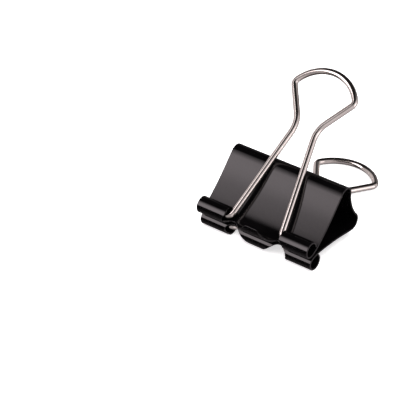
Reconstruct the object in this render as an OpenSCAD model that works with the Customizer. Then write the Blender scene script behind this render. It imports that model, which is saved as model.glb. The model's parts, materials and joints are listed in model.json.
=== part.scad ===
// Binder clip: one folded sheet of spring steel with rolled edges, and two sprung wire handles.
// X runs along the hinge pins, +Y points from the jaws to the spine, +Z is up.
// The clip is drawn closed and lying on a table, as it is left after use: the lower handle lies
// flat under it, and the upper handle leans back on the rounded corner of the spine.
// The origin is on the table, under the middle of the whole clip.

/* [Spring body] */
// Width of the sheet, along the pins
body_width = 32; // [30:0.5:41]
// Thickness of the spring steel
sheet_t = 0.45; // [0.35:0.05:0.5]
// Angle between a flank and the middle plane
flank_angle = 23.6; // [21:0.2:26]
// Length of the flat part of a flank
flank_length = 15.3; // [14:0.1:17]
// Outside radius of the two rounded back corners
corner_r = 2.1; // [1.8:0.1:2.4]
// How far the middle of the spine is dished in behind the corners
spine_dip = 0.95; // [0.6:0.05:1.2]

/* [Rolled edge] */
// Outside radius of the rolled barrels and of the lip between them
barrel_r = 2.1; // [1.9:0.05:2.3]
// Distance from the middle of the clip to the inner end of a barrel
barrel_inner_x = 7.9; // [7.9:0.05:9]
// How far a barrel's sheet wraps round from where it leaves the flank
barrel_wrap = 318; // [290:1:319]
// How far the lip's sheet wraps round from where it leaves the flank
lip_wrap = 158; // [130:1:170]
// Half width of the lip at its free edge
lip_tip_x = 1.5; // [1.2:0.1:2.5]
// Radius of the rounded notch between the lip and a barrel
notch_r = 1.75; // [1.5:0.05:1.8]
// Nearest and farthest centre of the notch's two round ends, from the middle of the clip
notch_x = [6.3, 7.1];
// Gap between the upper and lower rolled edges
jaw_gap = 0.1; // [0.05:0.05:0.3]

/* [Handles] */
// Diameter of the handle wire
wire_d = 1.6; // [1.4:0.05:1.7]
// Distance from the pins to the outside of the handle's end
handle_length = 41.9; // [40:0.1:44]
// Half distance between the lines of the two legs at the pins
leg_x = 7.25; // [7:0.05:7.25]
// Lean of each leg towards the neck
leg_lean = 9.6; // [9.4:0.05:10]
// Distance from the pins to the corner of the neck
neck_y = 26.75; // [25.5:0.05:27.5]
// Bend radius of the neck
neck_r = 6.7; // [4:0.1:7]
// Angle of the sides of the eye
eye_flare = 33.5; // [31:0.5:35]
// Radius of the broad end of the eye
eye_end_r = 9.8; // [9.6:0.1:10.8]
// Bend radius of the eye's two shoulders
shoulder_r = 1.4; // [1.2:0.1:2.2]
// Bend radius where a leg turns into its pin
pin_bend_r = 1.6; // [1.4:0.05:1.7]
// How far a pin's end stands back from the side of the clip
pin_recess = 2.6; // [0.2:0.1:3]

/* [Hidden] */
$fn = 96;

wire_r = wire_d / 2;
half_w = body_width / 2;
// Clearance between a resting handle and the corner that stops it
stop_gap = 0.2;
// Clearance between the two halves of the spring sheet, at the middle of the spine
fold_gap = 0.04;
// Each straight length of sheet or wire runs this far into the bends at its ends
weld = 0.1;
// Cuts run this far past the surfaces that they clear
cut_past = 0.3;
// Bends in the sheet and in the wire stand this little proud of the straight lengths they join
sheet_skin = 0.005;
wire_skin = 0.01;
// The sheet is drawn wider than it is, and both its sides are then trimmed in one cut
blank_w = body_width + 2;
// A cut this long from the roll's axis clears the roll
roll_clear = barrel_r + 1;
// The cut beside the lip stops this far short of the barrel's inner end, which the window trims
side_step = 0.05;
// How far round the roll the middle of the notch lies
notch_wrap = 105;
// How far in front of the roll's axis the notch's cut starts
notch_depth = 0.5;
// Height of the lip's corners over the middle of the notch, seen from in front of the notch
lip_tip_y = 1.65;
// How far round the roll the window over the lip reaches, past the barrels' free edges
window_wrap = 319;
// The window's cut stands this little proud of the roll
window_skin = 0.03;

// Section of the upper half, in the plane of [distance behind the jaws, height above the middle].
barrel_c = [0, barrel_r + jaw_gap / 2];
flank_dir = [cos(flank_angle), sin(flank_angle)];
flank_in = [sin(flank_angle), -cos(flank_angle)];
flank_start = barrel_c + barrel_r * flank_in;
flank_end = flank_start + flank_length * flank_dir;
corner_c = flank_end + (corner_r - sheet_t) * flank_in;
// The corner runs on past upright by this angle, where it meets the dished spine.
spine_turn = 2 * atan(spine_dip / corner_c[1]);
spine_r = corner_c[1] / sin(spine_turn) - corner_r;
spine_back = corner_c[0] + corner_r - spine_dip;

// Direction of the start of the roll, seen from its centre.
roll_start = flank_angle - 90;
// Point where the straight side of the lip runs into the round end of the notch.
lip_tip = [lip_tip_x, lip_tip_y];
lip_run = [notch_x[0], 0] - lip_tip;
lip_side_angle = atan2(lip_run[1], lip_run[0]) - asin(notch_r / norm(lip_run));
lip_side_length = sqrt(lip_run * lip_run - notch_r * notch_r);
lip_foot = lip_tip + lip_side_length * [cos(lip_side_angle), sin(lip_side_angle)];

// Handle, drawn flat: x across, y from the pins to the eye.
leg_dir = [-sin(leg_lean), cos(leg_lean)];
flare_dir = [sin(eye_flare), cos(eye_flare)];
pin_tangent = pin_bend_r * tan((90 - leg_lean) / 2);
neck_tangent = neck_r * tan((leg_lean + eye_flare) / 2);
leg_foot = [leg_x, 0];
neck_corner = leg_foot + leg_dir * (neck_y / leg_dir[1]);
neck_c = neck_corner - neck_tangent * leg_dir + neck_r * [cos(leg_lean), sin(leg_lean)];
eye_reach = handle_length - wire_r;
eye_end_c = [0, eye_reach - eye_end_r];
// The shoulder's centre lies on a line beside the flare, at a known distance from the end's centre.
shoulder_base = neck_corner + shoulder_r * [-cos(eye_flare), sin(eye_flare)] - eye_end_c;
shoulder_half = shoulder_base * flare_dir;
shoulder_gap = shoulder_base * shoulder_base - pow(eye_end_r - shoulder_r, 2);
shoulder_run = sqrt(shoulder_half * shoulder_half - shoulder_gap) - shoulder_half;
shoulder_c = eye_end_c + shoulder_base + shoulder_run * flare_dir;
shoulder_turn = atan2(shoulder_c[1] - eye_end_c[1], shoulder_c[0]);

// Angle of a resting handle above the middle plane, where its legs lie on the rounded corner.
corner_run = corner_c - barrel_c;
handle_rest = atan2(corner_run[1], corner_run[0])
    + asin((corner_r + wire_r + stop_gap) / norm(corner_run));
// Tilt of the middle plane when the clip lies on its lower barrels and the lower handle's end.
table_slope = asin((barrel_r - wire_r) / eye_reach);
clip_tilt = handle_rest - table_slope;

// Extent of the whole clip on the table, for the origin.
front_y = -barrel_c[1] * sin(clip_tilt) - barrel_r;
rear_y = barrel_c[1] * sin(clip_tilt) + eye_reach * cos(table_slope) + wire_r;
table_z = -barrel_c[1] * cos(clip_tilt) - barrel_r;

// Places a clip drawn about its middle plane on the table.
module on_table() {
    translate([0, -(front_y + rear_y) / 2, -table_z])
        rotate([clip_tilt, 0, 0])
            children();
}

// Turns a drawing of the section so that its height runs along the pins.
module across() {
    rotate([90, 0, 90])
        children();
}

// Sheet bent round an arc: the section's centre, outside radius, first angle and sweep.
module bent_sheet(centre, outer_r, start, sweep, skin = sheet_skin) {
    across()
        translate([centre[0], centre[1], -blank_w / 2])
            rotate(start)
                rotate_extrude(angle = sweep)
                    translate([outer_r - sheet_t - skin, 0])
                        square([sheet_t + 2 * skin, blank_w]);
}

// Flat part of a flank.
module flank() {
    across()
        translate([flank_start[0], flank_start[1], -blank_w / 2])
            rotate(flank_angle)
                translate([-weld, 0, 0])
                    cube([flank_length + 2 * weld, sheet_t, blank_w]);
}

// Rounded corner at the back of a flank.
module corner() {
    bent_sheet(corner_c, corner_r, -spine_turn, 90 + flank_angle + spine_turn);
}

// Upper half of the dished spine, which stops just short of the middle.
module half_spine() {
    fold_angle = asin(fold_gap / 2 / spine_r);
    first_angle = 180 - spine_turn - asin(weld / spine_r);
    bent_sheet([spine_back + spine_r, 0], spine_r + sheet_t,
        first_angle, 180 - fold_angle - first_angle, 0);
}

// Roll along the whole front edge, before the lip and the barrels are cut out of it.
module full_roll() {
    bent_sheet(barrel_c, barrel_r, roll_start - barrel_wrap, barrel_wrap);
}

// Space above the lip, between the two barrels.
module lip_window() {
    inner_r = barrel_r - sheet_t - cut_past;
    outer_r = barrel_r + window_skin;
    across()
        translate([barrel_c[0], barrel_c[1], -barrel_inner_x])
            rotate(roll_start - window_wrap)
                rotate_extrude(angle = window_wrap - lip_wrap)
                    translate([inner_r, 0])
                        square([outer_r - inner_r, 2 * barrel_inner_x]);
}

// Outline of the notch beside the lip, seen from the front: x across, y round the roll.
module notch_outline() {
    for (x = notch_x)
        translate([x, 0])
            circle(notch_r);
    translate([notch_x[0], -notch_r])
        square([notch_x[1] - notch_x[0], 2 * notch_r]);
    polygon([
        lip_tip,
        lip_foot,
        [notch_x[0], 0],
        [barrel_inner_x - side_step, 0],
        [barrel_inner_x - side_step, roll_clear],
        [lip_tip_x, roll_clear]
    ]);
}

// One notch, as a cut from the front towards the middle of the roll.
module notch() {
    translate([0, barrel_c[0], barrel_c[1]])
        rotate([roll_start - notch_wrap - 90, 0, 0])
            translate([0, 0, notch_depth])
                linear_extrude(height = roll_clear)
                    notch_outline();
}

// Block as wide as the sheet, and larger than its section every other way.
module sheet_width() {
    reach = 2 * flank_length;
    translate([-half_w, -reach, -reach])
        cube([body_width, 3 * reach, 2 * reach]);
}

// Upper half of the spring sheet: flank, corner, half of the spine, two barrels and the lip.
module half_sheet() {
    difference() {
        intersection() {
            sheet_width();
            union() {
                full_roll();
                flank();
                corner();
                half_spine();
            }
        }
        lip_window();
        notch();
        mirror([1, 0, 0])
            notch();
    }
}

// Straight length of wire from the end of one bend to another point of the flat handle.
module rod(from, to, to_weld = weld) {
    run = to - from;
    translate([from[0], from[1], 0])
        rotate(atan2(run[1], run[0]))
            rotate([0, 90, 0])
                translate([0, 0, -weld])
                    cylinder(h = norm(run) + weld + to_weld, r = wire_r);
}

// Bent length of wire round a centre of the flat handle.
module bend(centre, bend_r, start, sweep, skin = wire_skin) {
    translate([centre[0], centre[1], 0])
        rotate(start)
            rotate_extrude(angle = sweep)
                translate([bend_r, 0])
                    circle(wire_r + skin);
}

// Right half of a handle, from the pin to the shoulder.
module handle_side() {
    flare_start = neck_corner + neck_tangent * flare_dir;
    flare_stop = shoulder_c + shoulder_r * [cos(eye_flare), -sin(eye_flare)];
    rod([leg_x + pin_tangent, 0], [half_w - pin_recess, 0], 0);
    bend([leg_x + pin_tangent, pin_bend_r], pin_bend_r, 180 + leg_lean, 90 - leg_lean);
    rod(leg_foot + pin_tangent * leg_dir, neck_corner - neck_tangent * leg_dir);
    bend(neck_c, neck_r, 180 - eye_flare, leg_lean + eye_flare);
    rod(flare_start, flare_stop);
    bend(shoulder_c, shoulder_r, -eye_flare, shoulder_turn + eye_flare);
}

// Whole wire handle, drawn flat with its pins on the x axis.
module wire_handle() {
    end_start = shoulder_turn - asin(weld / eye_end_r);
    handle_side();
    mirror([1, 0, 0])
        handle_side();
    bend(eye_end_c, eye_end_r, end_start, 180 - 2 * end_start, 0);
}

module spring_upper_half() {
    color("#1b1a1c")
        on_table()
            half_sheet();
}

module spring_lower_half() {
    color("#1b1a1c")
        on_table()
            mirror([0, 0, 1])
                half_sheet();
}

module upper_handle() {
    color("#cfcac6")
        on_table()
            translate([0, barrel_c[0], barrel_c[1]])
                rotate([handle_rest, 0, 0])
                    wire_handle();
}

module lower_handle() {
    color("#cfcac6")
        on_table()
            translate([0, barrel_c[0], -barrel_c[1]])
                rotate([-handle_rest, 0, 0])
                    wire_handle();
}

spring_lower_half();
spring_upper_half();
upper_handle();
lower_handle();
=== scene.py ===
import json
from math import asin, atan2, cos, pi, radians, sin, sqrt, tan

import bpy
import numpy as np
from mathutils import Matrix, Vector
from mathutils.geometry import delaunay_2d_cdt


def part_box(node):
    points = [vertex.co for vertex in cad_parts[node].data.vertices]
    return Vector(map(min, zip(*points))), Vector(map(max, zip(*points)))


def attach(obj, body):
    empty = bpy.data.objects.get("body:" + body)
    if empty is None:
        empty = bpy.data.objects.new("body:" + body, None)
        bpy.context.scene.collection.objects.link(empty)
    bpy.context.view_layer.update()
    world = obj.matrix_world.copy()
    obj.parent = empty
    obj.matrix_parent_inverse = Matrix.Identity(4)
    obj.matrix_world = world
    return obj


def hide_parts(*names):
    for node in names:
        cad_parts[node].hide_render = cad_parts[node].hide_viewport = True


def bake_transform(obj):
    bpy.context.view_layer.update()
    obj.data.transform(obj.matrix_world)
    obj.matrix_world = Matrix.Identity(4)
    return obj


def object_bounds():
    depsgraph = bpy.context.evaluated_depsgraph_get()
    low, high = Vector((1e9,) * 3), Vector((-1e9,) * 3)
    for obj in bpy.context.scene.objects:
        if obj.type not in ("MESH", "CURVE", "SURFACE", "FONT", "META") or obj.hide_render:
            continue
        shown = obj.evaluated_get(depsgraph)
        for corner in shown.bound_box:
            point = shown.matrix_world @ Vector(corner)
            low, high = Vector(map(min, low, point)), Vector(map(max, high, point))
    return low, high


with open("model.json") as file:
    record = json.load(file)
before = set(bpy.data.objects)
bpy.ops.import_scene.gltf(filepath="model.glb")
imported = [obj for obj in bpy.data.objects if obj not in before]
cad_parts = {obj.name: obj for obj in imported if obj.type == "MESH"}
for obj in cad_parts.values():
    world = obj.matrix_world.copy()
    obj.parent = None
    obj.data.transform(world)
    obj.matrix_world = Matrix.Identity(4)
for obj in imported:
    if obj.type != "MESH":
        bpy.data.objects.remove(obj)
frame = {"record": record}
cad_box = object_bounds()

# A binder clip, closed, on a white table. Lengths are in metres, and the drawing sizes below are
# in millimetres times MM. The body is one sheet of spring steel, so it is drawn as one piece; the
# real sheet bends along its spine as the jaws open. Each handle is one wire, whose ends are the
# pins.
MM = 0.001

# ---- Driving sizes ----
# The sheet
SHEET = 0.45 * MM
EDGE_R = 0.11 * MM
FLANK_ANGLE = radians(23.6)
FLANK_LENGTH = 15.3 * MM
CORNER_R = 2.1 * MM
SPINE_DIP = 0.95 * MM
ROLL_R = 2.1 * MM
BARREL_WRAP = radians(318)
LIP_WRAP = radians(158)
BARREL_INNER_X = 7.9 * MM
LIP_TIP = (1.5 * MM, 1.65 * MM)
NOTCH_R = 1.75 * MM
NOTCH_X = (6.3 * MM, 7.1 * MM)
NOTCH_WRAP = radians(105)
CUT_CORNER_R = 0.3 * MM
NOTCH_START_R = 0.15 * MM
# The flanks aren't quite flat: millimetres behind the start of the roll, and the degrees that the
# face leans back there.
FLANK_BOW = (
    (-3.4, 0), (-2.6, -8), (-1.6, -10), (-0.7, 0), (-0.3, 10), (0.2, 12.5), (1.1, 11.5),
    (1.8, 7), (2.6, 4), (4, 2.6), (7, 1), (8.2, 0), (10, -2.4), (12, -3.8), (13.3, -3.9),
    (14.4, -3.3), (14.9, -0.6), (15.15, 4), (15.35, 7.5), (15.75, 7), (16.3, 0),
)
# How far round each corner the spine's bend share reaches, which on the real clip is as far as the
# handles' legs let the sheet bend.
BEND_ROUND_CORNER = radians(60)

# The handles
WIRE_R = 0.8 * MM
HANDLE_LENGTH = 41.9 * MM
LEG_X = 7.25 * MM
LEG_LEAN = radians(9.6)
NECK_Y = 26.75 * MM
NECK_R = 6.7 * MM
EYE_FLARE = radians(33.5)
EYE_END_R = 9.8 * MM
SHOULDER_R = 1.4 * MM
PIN_BEND_R = 1.6 * MM
PIN_RECESS = 2.6 * MM
WIRE_CUT_R = 0.18 * MM

# ---- Places, from the frame ----
record = frame["record"]
joint_at = {j["name"]: Vector(j["pos_m"]) for j in record["behaviour"]["joints"]}
mount_axis = {m["name"]: Vector(m["axis"]) for m in record["mounts"]}
upper_pin = joint_at["upper_handle_hinge"]
lower_pin = joint_at["lower_handle_hinge"]
ACROSS = Vector((1, 0, 0))
UP = (upper_pin - lower_pin).normalized()
BACK = UP.cross(ACROSS)
JAWS = (upper_pin + lower_pin) / 2
HALF_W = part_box("spring_upper_half")[1][0]
floor_z = cad_box[0][2]


# ---- The line of the sheet, from the middle of the spine to the free edge of the roll ----
SHEET_MID = SHEET / 2
roll_mid = ROLL_R - SHEET_MID
corner_mid = CORNER_R - SHEET_MID
flank_dir = np.array([cos(FLANK_ANGLE), sin(FLANK_ANGLE)])
flank_in = np.array([sin(FLANK_ANGLE), -cos(FLANK_ANGLE)])
roll_c = np.array([0, (upper_pin - lower_pin).length / 2])
corner_c = roll_c + ROLL_R * flank_in + FLANK_LENGTH * flank_dir + (CORNER_R - SHEET) * flank_in
spine_turn = 2 * np.arctan(SPINE_DIP / corner_c[1])
spine_r = corner_c[1] / sin(spine_turn) - CORNER_R
spine_mid = spine_r + SHEET_MID
spine_c = np.array([corner_c[0] + CORNER_R - SPINE_DIP + spine_r, 0])

spine_end = spine_mid * spine_turn
corner_end = spine_end + corner_mid * (pi / 2 + FLANK_ANGLE + spine_turn)
flank_end = corner_end + FLANK_LENGTH
barrel_end = flank_end + roll_mid * BARREL_WRAP
lip_end = flank_end + roll_mid * LIP_WRAP


def line_of_sheet(run):
    """Point, outward normal and direction of travel on the sheet's middle, in its section."""
    run = np.asarray(run, float)
    side = np.where(run < 0, -1.0, 1.0)
    a = np.abs(run)

    spine = a / spine_mid
    corner = (a - spine_end) / corner_mid - spine_turn
    roll = FLANK_ANGLE - pi / 2 - (a - flank_end) / roll_mid
    on_flank = corner_c + corner_mid * -flank_in - (a - corner_end)[..., None] * flank_dir

    def ring(angle):
        return np.stack([np.cos(angle), np.sin(angle)], -1)

    spine_ray = ring(pi - spine)
    where = [a < spine_end, a < corner_end, a < flank_end]
    where = [w[..., None] for w in where]
    flank_out = np.broadcast_to(-flank_in, on_flank.shape)
    point = np.select(
        where,
        [spine_c + spine_mid * spine_ray, corner_c + corner_mid * ring(corner), on_flank],
        roll_c + roll_mid * ring(roll),
    )
    normal = np.select(where, [-spine_ray, ring(corner), flank_out], -ring(roll))
    point[..., 1] *= side
    normal[..., 1] *= side
    # The outward normal turned a quarter points along the sheet's travel.
    travel = np.stack([-normal[..., 1], normal[..., 0]], -1)
    return point, normal, travel


bow_place, bow_degrees = (np.array(column) for column in zip(*FLANK_BOW))
bow_at = np.linspace(FLANK_BOW[0][0], FLANK_BOW[-1][0], 400) * MM
bow_lean = np.radians(np.interp(bow_at, bow_place * MM, bow_degrees))
bow_height = np.append(0, np.cumsum(-np.tan(bow_lean[1:] + bow_lean[:-1]) / 2 * np.diff(bow_at)))
# The height left at the far end is spread over the whole bow, so that the corner stays in place.
bow_height -= bow_height[-1] * (bow_at - bow_at[0]) / (bow_at[-1] - bow_at[0])


def bow(run):
    """How far the flanks' bow lifts the sheet at a place on the blank, and its face's lean."""
    behind_roll = flank_end - np.abs(run)
    height = np.interp(behind_roll, bow_at, bow_height, 0, 0)
    lean = np.interp(behind_roll, bow_at, bow_lean, 0, 0)
    return height, lean * np.sign(run)


def to_row(plane, x=0.0):
    """Section plane [behind the jaws, above the middle] and distance across to the row's frame."""
    return (
        np.array(JAWS)
        + np.asarray(plane)[..., :1] * np.array(BACK)
        + np.asarray(plane)[..., 1:] * np.array(UP)
        + np.asarray(x)[..., None] * np.array(ACROSS)
    )


# ---- The flat blank that the body is bent from ----
def arc_points(centre, radius, start, stop, step=radians(9)):
    """Points of an arc from one angle to another, both ends included."""
    count = max(2, int(abs(stop - start) / step) + 1)
    angles = np.linspace(start, stop, count)
    return [(centre[0] + radius * cos(a), centre[1] + radius * sin(a)) for a in angles]


def rounded(before, corner, after, radius, steps=6):
    """Points of an arc that rounds the corner between two neighbouring points."""
    corner = np.array(corner)
    to_a = np.array(before) - corner
    to_b = np.array(after) - corner
    to_a /= np.linalg.norm(to_a)
    to_b /= np.linalg.norm(to_b)
    half = np.arccos(np.clip(to_a @ to_b, -1, 1)) / 2
    centre = corner + (to_a + to_b) / np.linalg.norm(to_a + to_b) * radius / sin(half)
    ends = [corner + d * radius / tan(half) - centre for d in (to_a, to_b)]
    start, stop = (atan2(e[1], e[0]) for e in ends)
    turn = (stop - start + pi) % (2 * pi) - pi
    return arc_points(centre, radius, start, start + turn, abs(turn) / steps + 1e-9)


def round_the_roll(point):
    """Front view of the roll, [across, up from the notch's middle], to the blank."""
    x, up = point
    return x, flank_end + roll_mid * (NOTCH_WRAP + asin(up / roll_mid))


def notch_line():
    """Edge of the blank from a barrel's inner end, round the notch, to the free edge of the lip."""
    run = np.array([NOTCH_X[0] - LIP_TIP[0], -LIP_TIP[1]])
    slope = atan2(run[1], run[0]) - asin(NOTCH_R / np.linalg.norm(run))
    length = sqrt(run @ run - NOTCH_R**2)
    foot = np.array(LIP_TIP) + length * np.array([cos(slope), sin(slope)])
    edge_up = sin(LIP_WRAP - NOTCH_WRAP) * roll_mid
    reach = (LIP_TIP[1] - edge_up) / (LIP_TIP[1] - foot[1])
    tip = np.array(LIP_TIP) + reach * (foot - np.array(LIP_TIP))
    first = np.arccos((BARREL_INNER_X - NOTCH_X[1]) / NOTCH_R)
    line = arc_points((NOTCH_X[1], 0), NOTCH_R, first, -pi / 2)
    line += arc_points((NOTCH_X[0], 0), NOTCH_R, -pi / 2, slope - pi / 2)
    line += [tuple(foot + share * (tip - foot)) for share in np.linspace(0.1, 1, 10)]
    return [round_the_roll(p) for p in line]


def quarter_blank():
    """Edge of the blank's upper right quarter, from its side to the middle of its lip."""
    notch = notch_line()
    side, inner = (HALF_W, barrel_end), (BARREL_INNER_X, barrel_end)
    line = [(HALF_W, 0)]
    line += rounded(line[0], side, inner, CUT_CORNER_R)
    line += rounded(side, inner, notch[0], CUT_CORNER_R)
    line += rounded(inner, notch[0], notch[2], NOTCH_START_R, 4)
    line += notch[3:-2]
    line += rounded(notch[-2], notch[-1], (0, lip_end), CUT_CORNER_R)
    return line


def blank_outline():
    """The whole edge of the blank, counter-clockwise."""
    quarter = quarter_blank()
    upper = quarter + [(-x, run) for x, run in reversed(quarter)]
    lower = [(-x, -run) for x, run in upper]
    return np.array(upper[1:] + lower[1:])


def side_steps(outline):
    """Outward direction at each point of a closed counter-clockwise line."""
    ahead = np.roll(outline, -1, 0) - outline
    ahead /= np.linalg.norm(ahead, axis=1)[:, None]
    behind = np.roll(ahead, 1, 0)
    out = np.stack([(ahead + behind)[:, 1], -(ahead + behind)[:, 0]], 1)
    out /= np.linalg.norm(out, axis=1)[:, None]
    square = np.stack([ahead[:, 1], -ahead[:, 0]], 1)
    return out / np.maximum((out * square).sum(1), 0.5)[:, None]


def even_steps(start, stop, step):
    """Numbers from start to stop, both included, about one step apart."""
    return np.linspace(start, stop, max(2, int(round((stop - start) / step)) + 1))


def blank_rows():
    """Lines across the blank, close together where the sheet bends."""
    root = flank_end - 4 * MM
    edge = barrel_end - 0.14 * MM
    zones = [
        (0, spine_end, 0.42 * MM),
        (spine_end, corner_end, 0.15 * MM),
        (corner_end, root, 1.2 * MM),
        (root, flank_end, 0.4 * MM),
        (flank_end, edge, 0.16 * MM),
    ]
    upper = np.concatenate([[0]] + [even_steps(*zone)[1:] for zone in zones])
    return np.concatenate([-upper[:0:-1], upper])


def flat_mesh(outline):
    """Points and faces of the blank: a grid of four-sided cells, cut along its outline."""
    points = [Vector(p) for p in outline]
    edges = []

    def add_line(a, b):
        edges.append((len(points), len(points) + 1))
        points.extend([Vector(a), Vector(b)])

    # The grid's lines run past the outline, and its columns stand in from the sides.
    past = 1.2
    last_column = HALF_W - 1.1 * MM
    for run in blank_rows():
        add_line((-HALF_W * past, run), (HALF_W * past, run))
    for x in np.linspace(-last_column, last_column, 15):
        add_line((x, -barrel_end * past), (x, barrel_end * past))
    face = list(range(len(outline)))
    # Points this close become one.
    same = 1e-7
    made = delaunay_2d_cdt(points, edges, [face], 4, same)
    inside = [f for f, from_faces in zip(made[2], made[5]) if from_faces]
    used = sorted({v for f in inside for v in f})
    place = {v: k for k, v in enumerate(used)}
    flat = np.array([made[0][v][:] for v in used])
    return flat, [[place[v] for v in f] for f in inside]


def rim_of(faces):
    """The points round a mesh's edge in order, in the sense of its faces."""
    edges = {(f[k - 1], f[k]) for f in faces for k in range(len(f))}
    ahead = {a: b for a, b in edges if (b, a) not in edges}
    loop = [min(ahead)]
    while ahead[loop[-1]] != loop[0]:
        loop.append(ahead[loop[-1]])
    return loop


# ---- Mesh helpers ----
def new_mesh_object(name, points, faces, normals, material):
    mesh = bpy.data.meshes.new(name)
    mesh.from_pydata([tuple(p) for p in points], [], faces)
    mesh.polygons.foreach_set("use_smooth", [True] * len(faces))
    mesh.materials.append(material)
    mesh.validate()
    mesh.update()
    mesh.normals_split_custom_set_from_vertices([tuple(n) for n in normals])
    piece = bpy.data.objects.new(name, mesh)
    bpy.context.scene.collection.objects.link(piece)
    return piece


def give_attribute(piece, name, kind, values):
    attribute = piece.data.attributes.new(name, kind, "POINT")
    field = "vector" if kind == "FLOAT_VECTOR" else "value"
    attribute.data.foreach_set(field, np.asarray(values, np.float32).ravel())


# ---- Materials ----
class Nodes:
    """A node tree that is put together one line at a time."""

    def __init__(self, name):
        self.material = bpy.data.materials.new(name)
        self.material.use_nodes = True
        self.tree = self.material.node_tree
        self.shader = self.tree.nodes["Principled BSDF"]

    def add(self, kind, settings=None, **inputs):
        """A new node with its settings and inputs, which put() finds by name or number."""
        node = self.tree.nodes.new("ShaderNode" + kind)
        for key, value in (settings or {}).items():
            setattr(node, key, value)
        for key, value in inputs.items():
            self.put(node, key, value)
        return node

    def put(self, node, key, value):
        """Sets or links an input, given its name or the letter i and its number."""
        by_number = key[0] == "i" and key[1:].isdigit()
        slot = node.inputs[int(key[1:]) if by_number else key]
        if isinstance(value, bpy.types.NodeSocket):
            self.tree.links.new(value, slot)
        else:
            slot.default_value = value

    def read(self, name, output="Vector"):
        return self.add("Attribute", {"attribute_name": name}).outputs[output]

    def noise(self, where, scale, detail=2.0, roughness=0.5, stretch=(1, 1, 1)):
        moved = self.add("Mapping", None, Vector=where, Scale=stretch).outputs[0]
        looks = {"Scale": scale, "Detail": detail, "Roughness": roughness}
        return self.add("TexNoise", None, Vector=moved, **looks).outputs["Fac"]

    def ramp(self, value, from_low, from_high, to_low=0.0, to_high=1.0):
        node = self.add("MapRange", None, Value=value)
        node.inputs["From Min"].default_value = from_low
        node.inputs["From Max"].default_value = from_high
        node.inputs["To Min"].default_value = to_low
        node.inputs["To Max"].default_value = to_high
        return node.outputs[0]

    def maths(self, how, a, b):
        return self.add("Math", {"operation": how}, i0=a, i1=b).outputs[0]

    def mix(self, share, a, b):
        node = self.add("Mix", {"data_type": "RGBA"})
        self.put(node, "i0", share)
        self.put(node, "i6", a)
        self.put(node, "i7", b)
        return node.outputs[2]

    def bump(self, height, distance, strength=1.0, below=None):
        node = self.add("Bump", None, Height=height, Distance=distance, Strength=strength)
        if below is not None:
            self.put(node, "Normal", below)
        return node.outputs[0]


def specks(nodes, where, per_mm, radius_mm, share):
    """1 inside small soft-edged dots, one in each of a share of the cells, and 0 elsewhere."""
    cells = nodes.add("TexVoronoi", None, Vector=where, Scale=per_mm)
    radius = radius_mm * per_mm
    dot = nodes.ramp(cells.outputs["Distance"], 0.6 * radius, radius, 1, 0)
    pick = nodes.add("SeparateColor", None, Color=cells.outputs["Color"]).outputs[0]
    chosen = nodes.maths("LESS_THAN", pick, share)
    return nodes.maths("MULTIPLY", dot, chosen)


def black_enamel():
    """Baked gloss enamel: faint orange peel, dust in the gloss, and wear on the cut edges."""
    n = Nodes("black_enamel")
    where = n.read("blank_mm")
    smudge = n.noise(where, 0.16, 3.0)
    peel = n.noise(where, 0.9, 2.0)
    fine = n.noise(where, 5.0, 2.0)
    dust = specks(n, where, 0.42, 0.09, 0.3)
    cut = n.read("cut_edge", "Fac")
    patches = n.ramp(n.noise(where, 1.3, 4.0, 0.65), 0.55, 0.75, 0, 0.6)
    worn = n.maths("MULTIPLY", cut, patches)

    deep, cloudy = (0.0009, 0.0008, 0.0009, 1), (0.0016, 0.0014, 0.0016, 1)
    black = n.mix(n.ramp(smudge, 0.35, 0.65), deep, cloudy)
    dusty = n.mix(dust, black, (0.03, 0.03, 0.031, 1))
    n.put(n.shader, "Base Color", n.mix(worn, dusty, (0.07, 0.066, 0.064, 1)))
    roughness = n.ramp(smudge, 0.3, 0.7, 0.06, 0.1)
    n.put(n.shader, "Roughness", n.maths("ADD", roughness, n.maths("MULTIPLY", dust, 0.3)))
    n.put(n.shader, "Metallic", n.maths("MULTIPLY", worn, 0.6))
    waves = n.bump(peel, 0.012 * MM, 0.35)
    n.put(n.shader, "Normal", n.bump(fine, 0.0015 * MM, 0.3, waves))
    n.shader.inputs["IOR"].default_value = 1.5
    return n.material


def nickel_wire():
    """Bright nickel plate over drawn wire: die lines along it, a warm cast and a few fine rubs."""
    n = Nodes("nickel_wire")
    where = n.read("wire_mm")
    lines = n.noise(where, 1.0, 3.0, 0.6, (0.02, 7.0, 7.0))
    cast = n.noise(where, 0.35, 2.0)
    rubs = n.ramp(n.noise(where, 1.1, 4.0, 0.7, (0.5, 1.6, 1.6)), 0.6, 0.72)

    plate = n.mix(n.ramp(cast, 0.35, 0.65), (0.80, 0.765, 0.715, 1), (0.86, 0.835, 0.785, 1))
    rubbed = n.mix(n.maths("MULTIPLY", rubs, 0.35), plate, (0.66, 0.62, 0.59, 1))
    n.put(n.shader, "Base Color", rubbed)
    roughness = n.ramp(lines, 0.3, 0.7, 0.07, 0.14)
    n.put(n.shader, "Roughness", n.maths("ADD", roughness, n.maths("MULTIPLY", rubs, 0.1)))
    n.shader.inputs["Metallic"].default_value = 1.0
    n.put(n.shader, "Normal", n.bump(lines, 0.004 * MM, 0.35))
    return n.material


def pale_table():
    """A white table that glows a little, so that only a trace of the clip's shadow shows on it."""
    n = Nodes("pale_table")
    where = n.add("TexCoord").outputs["Object"]
    white = n.mix(n.noise(where, 30.0, 3.0), (0.9, 0.9, 0.9, 1), (0.93, 0.93, 0.93, 1))
    n.put(n.shader, "Base Color", white)
    n.shader.inputs["Roughness"].default_value = 0.75
    n.shader.inputs["Specular IOR Level"].default_value = 0.2
    n.shader.inputs["Emission Strength"].default_value = 0.6
    return n.material


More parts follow.
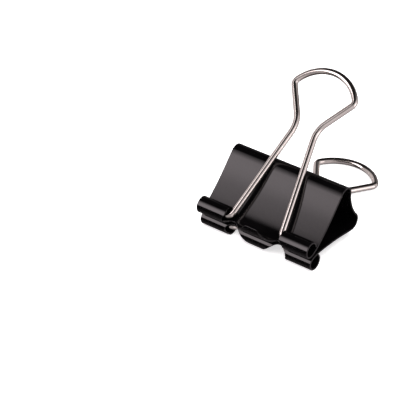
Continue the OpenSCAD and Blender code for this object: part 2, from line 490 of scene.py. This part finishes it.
# ---- The body ----
def edge_profile():
    """Steps round a cut edge, outer face to inner: out, height, and the normal's two shares."""
    turns = np.linspace(0, pi / 2, 5)[1:]
    flat = SHEET_MID - EDGE_R
    upper = [(EDGE_R * sin(a), flat + EDGE_R * cos(a), sin(a), cos(a)) for a in turns]
    lower = [(out, -height, o, -h) for out, height, o, h in reversed(upper)]
    return upper + lower


def spring_body(material):
    """The blank, given its thickness and rounded edges, and bent into the body."""
    outline = blank_outline()
    inset = outline - side_steps(outline) * EDGE_R
    flat, faces = flat_mesh(inset)
    rim = rim_of(faces)
    outward = side_steps(flat[rim])
    outward /= np.linalg.norm(outward, axis=1)[:, None]

    def bent(blank, height):
        """Places on the bent sheet, with the outward normal and the direction of travel there."""
        point, normal, travel = line_of_sheet(blank[:, 1])
        lift, lean = (v[:, None] for v in bow(blank[:, 1]))
        at = to_row(point + normal * (height + lift), blank[:, 0])
        normal, travel = (
            normal * np.cos(lean) - travel * np.sin(lean),
            travel * np.cos(lean) + normal * np.sin(lean),
        )
        return at, to_row(normal) - np.array(JAWS), to_row(travel) - np.array(JAWS)

    outer, out_normal, _ = bent(flat, SHEET_MID)
    inner, _, _ = bent(flat, -SHEET_MID)
    points, normals = [outer, inner], [out_normal, -out_normal]
    blanks, cut = [flat, flat], [np.zeros(len(flat)), np.zeros(len(flat))]
    made = [f[::-1] for f in faces] + [[v + len(flat) for v in f] for f in faces]

    loops = [rim]
    base = 2 * len(flat)
    for out, height, out_share, up_share in edge_profile():
        blank = flat[rim] + outward * out
        at, normal, travel = bent(blank, height)
        sideways = outward[:, :1] * np.array(ACROSS) + outward[:, 1:] * travel
        points.append(at)
        normals.append(sideways * out_share + normal * up_share)
        blanks.append(blank)
        cut.append(np.full(len(rim), out_share))
        loops.append([base + k for k in range(len(rim))])
        base += len(rim)
    loops.append([v + len(flat) for v in rim])
    for a, b in zip(loops, loops[1:]):
        for k in range(len(rim)):
            made.append([a[k - 1], a[k], b[k], b[k - 1]])

    points, normals, blanks, cut = (np.concatenate(v) for v in (points, normals, blanks, cut))
    piece = new_mesh_object("spring_body", points, made, normals, material)
    place_on_blank = np.column_stack([blanks, np.zeros(len(blanks))])
    give_attribute(piece, "blank_mm", "FLOAT_VECTOR", place_on_blank / MM)
    give_attribute(piece, "cut_edge", "FLOAT", cut)

    bend_run = spine_end + corner_mid * (spine_turn + BEND_ROUND_CORNER)
    ends = to_row(line_of_sheet([-bend_run, bend_run])[0])
    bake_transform(piece)
    share = np.clip(blanks[:, 1] / (2 * bend_run) + 0.5, 0, 1)
    share = share * share * (3 - 2 * share)
    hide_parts("spring_lower_half", "spring_upper_half")
    return piece


# ---- The handles ----
def handle_route():
    """Straight lengths and bends from one pin's end to the other: length, radius, turn."""
    lean, flare = LEG_LEAN, EYE_FLARE
    leg = np.array([-sin(lean), cos(lean)])
    side = np.array([sin(flare), cos(flare)])
    pin_tangent = PIN_BEND_R * tan((pi / 2 - lean) / 2)
    neck_tangent = NECK_R * tan((lean + flare) / 2)
    foot = np.array([LEG_X, 0])
    neck = foot + leg * (NECK_Y / leg[1])
    end_c = np.array([0, HANDLE_LENGTH - WIRE_R - EYE_END_R])
    base = neck + SHOULDER_R * np.array([-side[1], side[0]]) - end_c
    half = base @ side
    run = sqrt(half**2 - base @ base + (EYE_END_R - SHOULDER_R) ** 2) - half
    shoulder = base + run * side
    turn = atan2(shoulder[1], shoulder[0])
    pin = HALF_W - PIN_RECESS - LEG_X - pin_tangent
    leg_run = NECK_Y / leg[1] - pin_tangent - neck_tangent
    half_route = [
        (pin, None, 0),
        (0, PIN_BEND_R, lean - pi / 2),
        (leg_run, None, 0),
        (0, NECK_R, -lean - flare),
        (run - neck_tangent, None, 0),
        (0, SHOULDER_R, turn + flare),
    ]
    return half_route + [(0, EYE_END_R, pi - 2 * turn)] + half_route[::-1]


def walk(route, start, heading):
    """Follows a route in the plane: points, headings and distances gone."""
    at, gone = np.array(start, float), 0.0
    stops = [(at, heading, gone)]
    for length, radius, turn in route:
        if radius is None:
            steps = max(1, int(length / (1.5 * MM)))
            for _ in range(steps):
                at = at + length / steps * np.array([cos(heading), sin(heading)])
                gone += length / steps
                stops.append((at, heading, gone))
            continue
        steps = max(4, int(abs(turn) / radians(5)))
        side = 1 if turn > 0 else -1
        centre = at + side * radius * np.array([-sin(heading), cos(heading)])
        for _ in range(steps):
            heading += turn / steps
            at = centre - side * radius * np.array([-sin(heading), cos(heading)])
            gone += radius * abs(turn) / steps
            stops.append((at, heading, gone))
    return stops


def wire_handle(name, pin, plane_normal, material):
    """One handle: a round wire along its route, with rounded edges on its cut ends."""
    plane_normal = plane_normal.normalized()
    out = plane_normal.cross(ACROSS)
    stops = walk(handle_route(), (HALF_W - PIN_RECESS, 0), pi)
    count = 32
    around = np.arange(count) * 2 * pi / count

    def ring(stop, radius, forward=0.0):
        """Points round the wire at a stop or just past it, with their normals."""
        at, heading, gone = stop
        ahead = np.array([cos(heading), sin(heading)])
        at = at + forward * ahead
        left = np.array([-ahead[1], ahead[0]])
        flat = at + (radius * np.cos(around))[:, None] * left
        place = np.array(pin) + flat[:, :1] * np.array(ACROSS) + flat[:, 1:] * np.array(out)
        place = place + (radius * np.sin(around))[:, None] * np.array(plane_normal)
        side = left[0] * np.array(ACROSS) + left[1] * np.array(out)
        normal = np.cos(around)[:, None] * side + np.sin(around)[:, None] * np.array(plane_normal)
        along = ahead[0] * np.array(ACROSS) + ahead[1] * np.array(out)
        return place, normal, along, gone + forward

    def cut_ring(stop, facing, degrees):
        """Ring on the rounded edge of a cut end that faces back (-1) or forward (1)."""
        turn = radians(degrees)
        radius = WIRE_R - WIRE_CUT_R * (1 - cos(turn))
        return ring(stop, radius, -facing * WIRE_CUT_R * (1 - sin(turn))), facing * sin(turn)

    made = [cut_ring(stops[0], -1, degrees) for degrees in (90, 60, 30, 0)]
    made += [(ring(stop, WIRE_R), 0.0) for stop in stops[1:-1]]
    made += [cut_ring(stops[-1], 1, degrees) for degrees in (0, 30, 60, 90)]

    points, normals, where = [], [], []
    for (place, normal, along, gone), lean in made:
        points.append(place)
        normals.append(normal * sqrt(1 - lean**2) + along * lean)
        section = WIRE_R * np.cos(around), WIRE_R * np.sin(around)
        where.append(np.column_stack([np.full(count, gone), *section]) / MM)
    faces = []
    for k in range(len(made) - 1):
        for j in range(count):
            a, b = k * count + j, k * count + (j + 1) % count
            faces.append([a, b, b + count, a + count])
    # The cut faces have their own points, so that they stay flat under the light.
    for end, facing in ((0, -1), (len(made) - 1, 1)):
        place, _, along, _ = made[end][0]
        base = count * len(points)
        points.append(place)
        normals.append(np.tile(along * facing, (count, 1)))
        where.append(where[end])
        faces.append([base + j for j in range(count)][::facing])

    points, normals, where = (np.concatenate(v) for v in (points, normals, where))
    piece = new_mesh_object(name, points, faces, normals, material)
    give_attribute(piece, "wire_mm", "FLOAT_VECTOR", where)
    return piece


# ---- Studio ----
# The room and the softboxes are a little warm.
ROOM_TINT = (1.08, 0.965, 1.0)
TABLE_HALF = 3.0
TABLE_GAP = 0.01 * MM


def toward(azimuth, elevation):
    """Direction from the clip: azimuth 0 is the front and 90 the right, in degrees."""
    a, e = radians(azimuth), radians(elevation)
    return Vector((sin(a) * cos(e), -cos(a) * cos(e), sin(e)))


def area_light(name, way, distance, size, radiance, fade=None, tint=(1, 1, 1), mirrored=True):
    """A rectangular softbox facing the clip; its power follows from how bright its face looks."""
    data = bpy.data.lights.new(name, "AREA")
    data.shape = "RECTANGLE"
    data.size, data.size_y = size
    data.energy = radiance * pi * size[0] * size[1]
    data.color = tint
    lamp = bpy.data.objects.new(name, data)
    lamp.location = way * distance
    lamp.rotation_euler = (-way).to_track_quat("-Z", "Y").to_euler()
    lamp.visible_glossy = mirrored
    bpy.context.scene.collection.objects.link(lamp)
    if fade is None:
        return
    # The face dims from one share of its height to the other.
    data.use_nodes = True
    tree = data.node_tree
    glow = next(n for n in tree.nodes if n.type == "EMISSION")
    face = tree.nodes.new("ShaderNodeNewGeometry").outputs["Parametric"]
    split = tree.nodes.new("ShaderNodeSeparateXYZ")
    curve = tree.nodes.new("ShaderNodeMapRange")
    curve.interpolation_type = "SMOOTHSTEP"
    curve.inputs["From Min"].default_value = fade[0]
    curve.inputs["From Max"].default_value = fade[1]
    tree.links.new(face, split.inputs[0])
    tree.links.new(split.outputs[1], curve.inputs["Value"])
    tree.links.new(curve.outputs[0], glow.inputs["Strength"])


def studio_world():
    """A dark room with pale walls round it."""
    world = bpy.data.worlds.new("studio")
    world.use_nodes = True
    tree = world.node_tree
    way = tree.nodes.new("ShaderNodeSeparateXYZ")
    tree.links.new(tree.nodes.new("ShaderNodeTexCoord").outputs["Generated"], way.inputs[0])

    def level(axis, start, stop):
        """0 to 1 as a direction's share along an axis goes from start to stop."""
        node = tree.nodes.new("ShaderNodeMapRange")
        node.interpolation_type = "SMOOTHSTEP"
        node.inputs["From Min"].default_value = start
        node.inputs["From Max"].default_value = stop
        tree.links.new(way.outputs[axis], node.inputs["Value"])
        return node.outputs[0]

    def maths(how, a, b):
        node = tree.nodes.new("ShaderNodeMath")
        node.operation = how
        for slot, value in zip(node.inputs, (a, b)):
            if isinstance(value, bpy.types.NodeSocket):
                tree.links.new(value, slot)
            else:
                slot.default_value = value
        return node.outputs[0]

    def patch(strength, *levels):
        """Part of the room that is this bright where all the levels reach 1."""
        share = strength
        for one in levels:
            share = maths("MULTIPLY", one, share)
        return share

    right_wall = patch(0.5, level("X", 0.25, 0.75), level("Z", 0.95, 0.7))
    left_height = level("Z", -0.7, -0.5), level("Z", 0.75, 0.4)
    left_wall = patch(0.5, level("X", -0.58, -0.8), *left_height)
    back_wall = patch(0.12, level("Y", 0.3, 0.7), level("Z", 0.6, 0.3))
    front = patch(0.3, level("Y", -0.55, -0.85), level("X", -0.42, -0.2))
    from_table = patch(0.1, level("Z", -0.3, -0.9))
    strength = 0.012
    for one in (right_wall, left_wall, back_wall, front, from_table):
        strength = maths("ADD", one, strength)
    # Past the table's edge the backdrop is as pale as the table.
    seen = tree.nodes.new("ShaderNodeLightPath").outputs["Is Camera Ray"]
    strength = maths("MAXIMUM", seen, strength)
    tree.links.new(strength, tree.nodes["Background"].inputs["Strength"])
    tree.nodes["Background"].inputs["Color"].default_value = (*ROOM_TINT, 1)
    return world


def studio():
    """The table, the room round it and the lights."""
    scene = bpy.context.scene
    mesh = bpy.data.meshes.new("table")
    corners = [(-1, -1), (1, -1), (1, 1), (-1, 1)]
    mesh.from_pydata([(x * TABLE_HALF, y * TABLE_HALF, 0) for x, y in corners], [], [range(4)])
    mesh.materials.append(pale_table())
    table = bpy.data.objects.new("table", mesh)
    table.location.z = floor_z - TABLE_GAP
    table.visible_glossy = False
    scene.collection.objects.link(table)

    scene.world = studio_world()
    warm = {"tint": ROOM_TINT}
    area_light("key", toward(-38, 36), 0.62, (0.32, 0.66), 3.6, fade=(0.93, 0.42), **warm)
    area_light("side", toward(88, 8), 0.6, (0.4, 0.5), 0.9, **warm)
    area_light("overhead", toward(60, 75), 0.7, (0.7, 0.7), 5.5, mirrored=False)
    scene.view_settings.view_transform = "Standard"


def camera():
    """Looks down from the front and the right, aimed to the left of the clip."""
    at, aim = Vector((0.22197, -0.31850, 0.27049)), Vector((-0.01667, -0.02042, 0.00687))
    roll = radians(-1.28)
    # The lens's focal length as a multiple of the picture's width.
    frame_width, lens_share = 36.0, 1949.7 / 400
    data = bpy.data.cameras.new("camera")
    data.sensor_width = frame_width
    data.lens = frame_width * lens_share
    data.clip_start, data.clip_end = 0.01, 20.0
    back = (at - aim).normalized()
    right = Vector((0, 0, 1)).cross(back).normalized()
    turn = Matrix.Rotation(roll, 3, back)
    right = turn @ right
    up = back.cross(right)
    seen = bpy.data.objects.new("camera", data)
    seen.matrix_world = Matrix.Translation(at) @ Matrix((right, up, back)).transposed().to_4x4()
    bpy.context.scene.collection.objects.link(seen)
    bpy.context.scene.camera = seen


camera()
studio()
enamel = black_enamel()
nickel = nickel_wire()
spring_body(enamel)
for name, pin, mount in (
    ("upper_wire_handle", upper_pin, "upper_eye"),
    ("lower_wire_handle", lower_pin, "lower_eye"),
):
    handle = wire_handle(name, pin, mount_axis[mount], nickel)
    body = name.replace("_wire", "")
    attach(handle, body)
    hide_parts(body)
